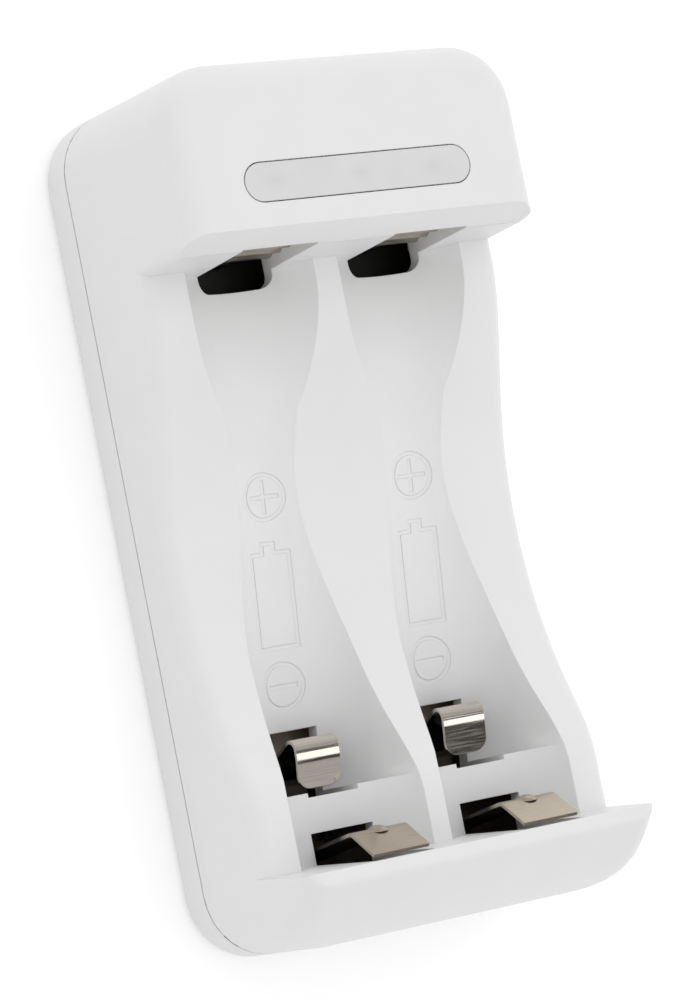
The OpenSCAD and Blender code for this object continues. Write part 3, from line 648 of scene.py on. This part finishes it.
def carvedShell():
    shell = temporaryObject(mergedCopy("front_shell"), "shellBlank")
    cutters = [temporaryObject(signCutter(troughSigns, side), "signCutter", mm) for side in (-1, 1)]
    cutters.append(temporaryObject(headEdgeCutter(headEdge), "edgeCutter", mm))
    for cutter in cutters:
        cut = shell.modifiers.new("cut", "BOOLEAN")
        cut.operation = "DIFFERENCE"
        cut.solver = "EXACT"
        cut.object = cutter
    carved = shell.evaluated_get(bpy.context.evaluated_depsgraph_get()).to_mesh()
    bm = bmesh.new()
    bm.from_mesh(carved)
    mergeClose(bm)
    for thing in [shell] + cutters:
        bpy.data.objects.remove(thing)
    return bm


# inner walls get painted shade: dark colours on the faces that light hardly reaches, so the slots show as
# dark

insideOf = {
    "rays": 64,
    "leastOpen": 0.05,  # share of the rays that get out
    "leastFacing": 0.1,
    "startOff": 0.05,  # mm, as the rest
    "floorZ": 1.35,
    "halfWidth": 16.55,
    "halfLength": 35.6,
}


def raysAllRound(count):
    turn = math.pi * (3 - math.sqrt(5))  # golden angle
    rays = []
    for i in range(count):
        z = 1 - (2 * i + 1) / count
        flat = math.sqrt(1 - z * z)
        rays.append(Vector((flat * math.cos(turn * i), flat * math.sin(turn * i), z)))
    return rays


def shadeShellInside(bm, s):
    both = bm.copy()
    both.from_mesh(frame["nodes"]["rear_cover"].data)
    tree = BVHTree.FromBMesh(both)
    both.free()
    rays = raysAllRound(s["rays"])
    for face in bm.faces:
        start = face.calc_center_median() + face.normal * s["startOff"] * mm
        ahead = [r for r in rays if r.dot(face.normal) > s["leastFacing"]]
        free = sum(tree.ray_cast(start, r)[0] is None for r in ahead)
        # painted shade: faces that almost no ray leaves take the dark second material
        face.material_index = int(free < s["leastOpen"] * len(ahead))


def shadeCoverInside(bm, s):
    for face in bm.faces:
        x, y, z = face.calc_center_median() / mm
        within = abs(x) < s["halfWidth"] and abs(y) < s["halfLength"]
        # painted shade: the cover's inner faces take the dim brown second material
        face.material_index = int(z > s["floorZ"] and within)


# hook tabs that leave the arch in a long soft bend, each set a little differently

hookTab = {
    "madeLean": 12.0,  # degrees
    "archY": -20.61,  # mm, as the rest
    "archTurn": 0.11,
    "lowZ": 8.3,
    "length": 3.3,
    "step": 0.15,
    "stepsBack": 2,
    "longer": 0.2,
    "longerFrom": 0.9,
    "longerTo": 1.85,
    "legZ": (2.5, 8.5),
}
hookSets = {
    "aaa_contact_left": {"lean": 13.5, "start": -0.1, "softLength": 1.5, "backY": 0.0},
    "aaa_contact_right": {"lean": 10.6, "start": -0.2, "softLength": 1.1, "backY": 0.4},
}


def softenHook(bm, h, bent):
    madeSlope = math.tan(math.radians(h["madeLean"]))
    slope = math.tan(math.radians(bent["lean"]))
    soft = bent["softLength"]
    for i in range(-h["stepsBack"], round(h["length"] / h["step"])):
        cutAcross(bm, (0, (h["archY"] - i * h["step"]) * mm, 0), (0, 1, 0))
    mergeClose(bm)
    for vert in bm.verts:
        x, y, z = vert.co / mm
        out = h["archY"] - y
        if out > bent["start"] and z > h["lowZ"]:
            longer = h["longer"] * share(out, h["longerFrom"], h["longerTo"])
            along = out + longer - bent["start"]
            bend = min(along, soft)
            z += madeSlope * max(0, out - h["archTurn"])
            z -= slope * (bend * bend / 2 / soft + along - bend)
            y -= longer
        y += bent["backY"] * share(z, *h["legZ"])
        vert.co = Vector((x, y, z)) * mm


# positive strips stand nearer the mouth of their slots

plateSet = {"forward": 0.4, "fromZ": 10.2, "toZ": 11.0}  # mm


def bringForward(bm, p):
    for vert in bm.verts:
        vert.co.y -= p["forward"] * share(vert.co.z / mm, p["fromZ"], p["toZ"]) * mm


# finished pieces: merged copies of the CAD nodes, with soft shading up to an angle in degrees

finishes = {
    "front_shell": ("whiteMoulding", 20),
    "rear_cover": ("whiteMoulding", 20),
    "indicator_window": ("frostedWindow", 25),
    "positive_contact_left": ("plateNickel", 35),
    "positive_contact_right": ("plateNickel", 35),
    "aaa_contact_left": ("hookNickel", 35),
    "aaa_contact_right": ("hookNickel", 35),
    "aa_contact_left": ("rampNickel", 35),
    "aa_contact_right": ("rampNickel", 35),
    "circuit_board": ("solderMask", 25),
    "usb_shell": ("inletSteel", 25),
    "usb_tongue": ("chipBlack", 25),
    "led_left": ("ledClear", 25),
    "led_right": ("ledClear", 25),
    "charge_controller": ("chipBlack", 25),
    "transistor_left": ("chipBlack", 25),
    "transistor_right": ("chipBlack", 25),
    "sense_resistors": ("chipBlack", 25),
    "input_capacitor": ("canMetal", 25),
    "diodes": ("chipBlack", 25),
    "lead_left": ("wireBlack", 50),
    "lead_right": ("wireBlack", 50),
    "case_screws": ("screwSteel", 30),
}
insides = {"front_shell": "insideShade", "rear_cover": "paintedCoverShade"}


def finishNode(name, matName, angle):
    bm = carvedShell() if name == "front_shell" else mergedCopy(name)
    bm.normal_update()
    if name == "front_shell":
        shadeShellInside(bm, insideOf)
    elif name == "rear_cover":
        shadeCoverInside(bm, insideOf)
    elif name in hookSets:
        softenHook(bm, hookTab, hookSets[name])
    elif name.startswith("positive_contact"):
        bringForward(bm, plateSet)
    for face in bm.faces:
        face.smooth = True
    for edge in bm.edges:
        edge.smooth = edge.calc_face_angle(0) < math.radians(angle)
    mesh = bpy.data.meshes.new(name + "_finished")
    bm.to_mesh(mesh)
    bm.free()
    mesh.materials.append(mats[matName])
    if name in insides:
        mesh.materials.append(mats[insides[name]])
    piece = bpy.data.objects.new(name + "_finished", mesh)
    scene.collection.objects.link(piece)
    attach(piece, frame["nodes"][name]["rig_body"])
    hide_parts(name)
    print(name, len(mesh.polygons), "faces")


for nodeName, (matName, angle) in finishes.items():
    finishNode(nodeName, matName, angle)
print("nodes finished:", len(finishes))
